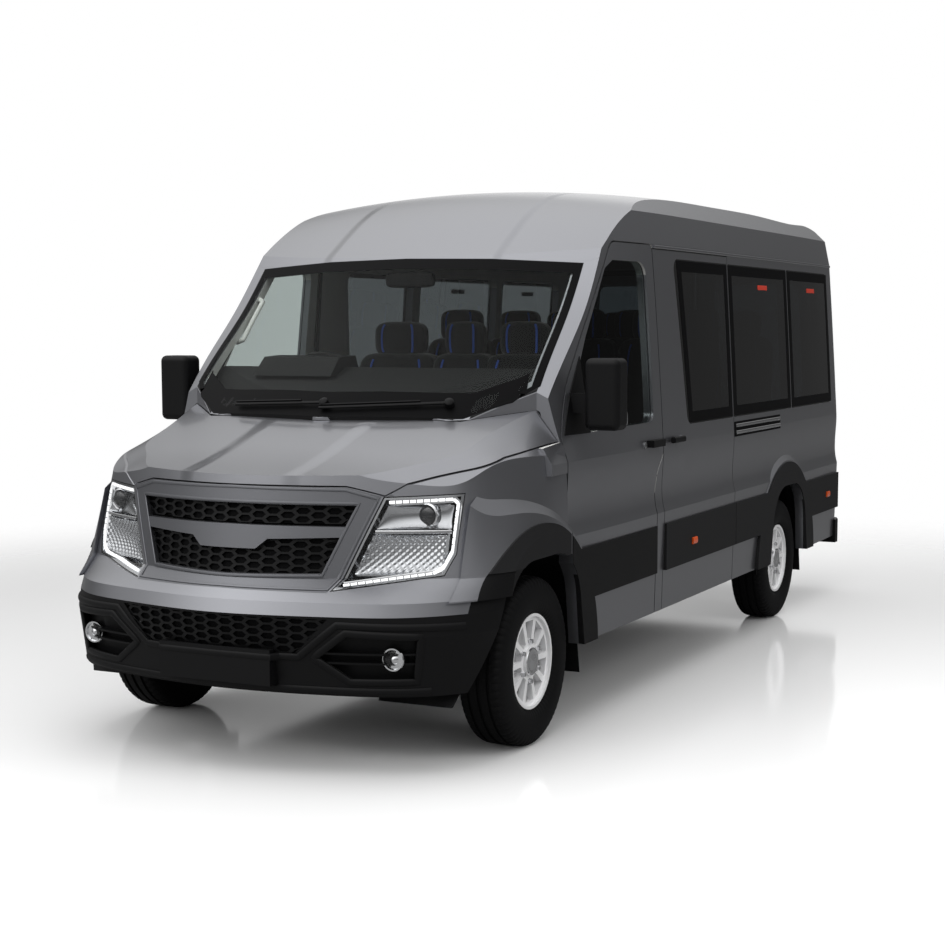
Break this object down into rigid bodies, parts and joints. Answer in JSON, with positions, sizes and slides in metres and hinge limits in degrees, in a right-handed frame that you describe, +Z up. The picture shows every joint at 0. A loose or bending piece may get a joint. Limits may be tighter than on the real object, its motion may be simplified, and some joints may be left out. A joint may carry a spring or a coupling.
{
  "type": "minibus",
  "caption": "High-roof minibus with a short sloping bonnet, honeycomb grille, sliding side door, twin rear doors and rows of seats, on four road wheels.",
  "frame": {"origin": "centre of the overall box at ground level, between the four wheels", "axes": "+Z up, -Y towards the front of the vehicle, +X towards its left side"},
  "size_m": [2.4, 5.9, 2.4776],
  "materials": {
    "body_paint": "metallic gloss",
    "frame_paint": "satin",
    "black_plastic": "grained",
    "underbody": "matt",
    "cast_metal": "bare",
    "alloy": "bright",
    "tyre_rubber": "matt",
    "seal_rubber": "matt",
    "clear_glass": "clear",
    "dark_glass": "tinted",
    "lamp_inner": "bright",
    "red_lens": "gloss",
    "interior_plastic": "grained",
    "seat_fabric": "woven"
  },
  "bodies": {
    "body_shell": {"chassis": "underbody", "floor_pan": "underbody", "wheel_housings": "black_plastic", "front_subframe": "underbody", "rear_axle": "underbody", "engine_block": "cast_metal", "radiator": "underbody", "side_panel_left": "body_paint", "side_panel_right": "body_paint", "sliding_door": "body_paint", "side_windows": "dark_glass", "roof_panel": "body_paint", "front_frame": "body_paint", "windscreen": "clear_glass", "fenders": "body_paint", "grille_frame": "frame_paint", "grille_mesh": "black_plastic", "bumper_upper": "body_paint", "bumper_lower": "black_plastic", "headlamps": "lamp_inner", "headlamp_lenses": "clear_glass", "fog_lamps": "black_plastic", "number_plate": "black_plastic", "side_cladding": "black_plastic", "rear_bumper": "black_plastic", "tail_lamps": "red_lens", "door_seals": "seal_rubber", "dashboard": "interior_plastic", "cab_seats": "seat_fabric", "passenger_seats": "seat_fabric", "seat_pedestals": "interior_plastic"},
    "front_door_left_body": {"front_door_left": "body_paint", "front_door_left_glass": "clear_glass", "front_door_left_trim": "black_plastic"},
    "rear_door_left_body": {"rear_door_left": "body_paint", "rear_door_left_glass": "dark_glass"},
    "front_door_right_body": {"front_door_right": "body_paint", "front_door_right_glass": "clear_glass", "front_door_right_trim": "black_plastic"},
    "rear_door_right_body": {"rear_door_right": "body_paint", "rear_door_right_glass": "dark_glass"},
    "bonnet_body": {"bonnet": "body_paint"},
    "knuckle_left_body": {"knuckle_left": "cast_metal"},
    "knuckle_right_body": {"knuckle_right": "cast_metal"},
    "steering_wheel_body": {"steering_wheel": "interior_plastic"},
    "front_left_wheel": {"front_left_rim": "alloy", "front_left_tyre": "tyre_rubber"},
    "front_right_wheel": {"front_right_rim": "alloy", "front_right_tyre": "tyre_rubber"},
    "rear_left_wheel": {"rear_left_rim": "alloy", "rear_left_tyre": "tyre_rubber"},
    "rear_right_wheel": {"rear_right_rim": "alloy", "rear_right_tyre": "tyre_rubber"}
  },
  "joints": [
    {"name": "front_door_left_hinge", "type": "hinge", "parent": "body_shell", "child": "front_door_left_body", "pos_m": [1.03664, -1.73845, 0.9], "axis": [0, 0, -1], "range_deg": [0, 70]},
    {"name": "front_door_right_hinge", "type": "hinge", "parent": "body_shell", "child": "front_door_right_body", "pos_m": [-1.03664, -1.73845, 0.9], "axis": [0, 0, 1], "range_deg": [0, 70]},
    {"name": "rear_door_left_hinge", "type": "hinge", "parent": "body_shell", "child": "rear_door_left_body", "pos_m": [0.90706, 2.93187, 0.9], "axis": [0, 0, -1], "range_deg": [0, 180]},
    {"name": "rear_door_right_hinge", "type": "hinge", "parent": "body_shell", "child": "rear_door_right_body", "pos_m": [-0.90706, 2.93187, 0.9], "axis": [0, 0, 1], "range_deg": [0, 180]},
    {"name": "bonnet_hinge", "type": "hinge", "parent": "body_shell", "child": "bonnet_body", "pos_m": [0, -1.755, 1.478], "axis": [-1, 0, 0], "range_deg": [0, 50]},
    {"name": "steer_right", "type": "hinge", "parent": "body_shell", "child": "knuckle_right_body", "pos_m": [-0.795, -1.9875, 0.36], "axis": [0, 0, 1], "range_deg": [-35, 35]},
    {"name": "steer_left", "type": "hinge", "parent": "body_shell", "child": "knuckle_left_body", "pos_m": [0.795, -1.9875, 0.36], "axis": [0, 0, 1], "range_deg": [-35, 35]},
    {"name": "steering_wheel_turn", "type": "hinge", "parent": "body_shell", "child": "steering_wheel_body", "pos_m": [-0.37, -1.358, 1.49], "axis": [0, 0.766, 0.6428], "range_deg": [-540, 540]},
    {"name": "front_left_roll", "type": "hinge", "parent": "knuckle_left_body", "child": "front_left_wheel", "pos_m": [0.877, -1.9875, 0.36], "axis": [1, 0, 0], "continuous": true},
    {"name": "front_right_roll", "type": "hinge", "parent": "knuckle_right_body", "child": "front_right_wheel", "pos_m": [-0.877, -1.9875, 0.36], "axis": [1, 0, 0], "continuous": true},
    {"name": "rear_left_roll", "type": "hinge", "parent": "body_shell", "child": "rear_left_wheel", "pos_m": [0.877, 1.6275, 0.36], "axis": [1, 0, 0], "continuous": true},
    {"name": "rear_right_roll", "type": "hinge", "parent": "body_shell", "child": "rear_right_wheel", "pos_m": [-0.877, 1.6275, 0.36], "axis": [1, 0, 0], "continuous": true}
  ],
  "couplings": [
    {"joint": "steer_left", "follows": "steer_right", "ratio": 1},
    {"joint": "steering_wheel_turn", "follows": "steer_right", "ratio": 15}
  ]
}
